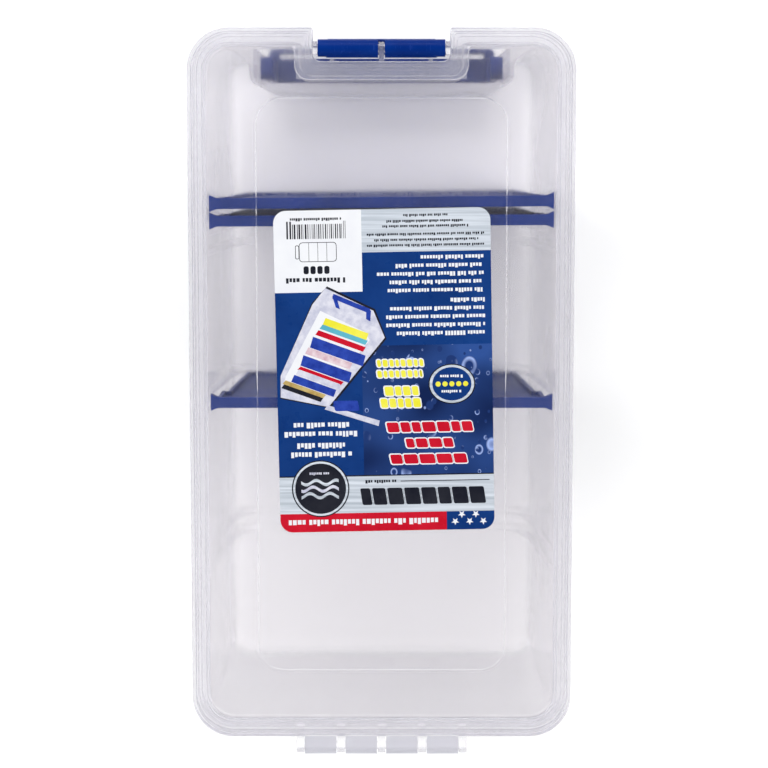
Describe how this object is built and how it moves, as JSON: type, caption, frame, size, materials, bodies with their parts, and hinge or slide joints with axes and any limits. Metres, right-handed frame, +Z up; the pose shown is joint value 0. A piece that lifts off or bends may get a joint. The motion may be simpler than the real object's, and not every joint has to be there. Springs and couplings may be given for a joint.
{
  "type": "tackle box",
  "caption": "Clear hinged-lid tackle box with a snap latch, a bail handle in a front bay and removable cross dividers.",
  "frame": {"origin": "centre of the flat base on which the box rests", "axes": "+Z up, -Y towards the latch and handle end, +Y towards the hinge end, X across"},
  "size_m": [0.184, 0.352, 0.133],
  "materials": {
    "clear_plastic": "clear, slightly milky polypropylene",
    "clear_lid_plastic": "clear, slightly milky polypropylene, moulded gloss",
    "blue_latch_plastic": "moulded satin gloss",
    "blue_divider_plastic": "moulded satin, slightly translucent",
    "label_print": "printed label with a light gloss film"
  },
  "bodies": {
    "tub": {"tub": "clear_plastic"},
    "lid": {"lid": "clear_lid_plastic", "label": "label_print"},
    "latch": {"latch": "blue_latch_plastic"},
    "handle": {"handle": "blue_latch_plastic"},
    "divider_front": {"divider_front": "blue_divider_plastic"},
    "divider_spare": {"divider_spare": "blue_divider_plastic"},
    "divider_middle": {"divider_middle": "blue_divider_plastic"}
  },
  "joints": [
    {"name": "lid_hinge", "type": "hinge", "parent": "tub", "child": "lid", "pos_m": [0, 0.1768, 0.127], "axis": [-1, 0, 0], "range_deg": [0, 180]},
    {"name": "latch_hinge", "type": "hinge", "parent": "lid", "child": "latch", "pos_m": [0, -0.1616, 0.1283], "axis": [-1, 0, 0], "range_deg": [0, 135]},
    {"name": "handle_pivot", "type": "hinge", "parent": "tub", "child": "handle", "pos_m": [0, -0.1542, 0.066], "axis": [-1, 0, 0], "range_deg": [0, 110]},
    {"name": "divider_front_lift", "type": "slide", "parent": "tub", "child": "divider_front", "axis": [0, 0, 1], "range_m": [0, 0.0045]},
    {"name": "divider_spare_lift", "type": "slide", "parent": "tub", "child": "divider_spare", "axis": [0, 0, 1], "range_m": [0, 0.0045]},
    {"name": "divider_middle_lift", "type": "slide", "parent": "tub", "child": "divider_middle", "axis": [0, 0, 1], "range_m": [0, 0.0045]}
  ]
}
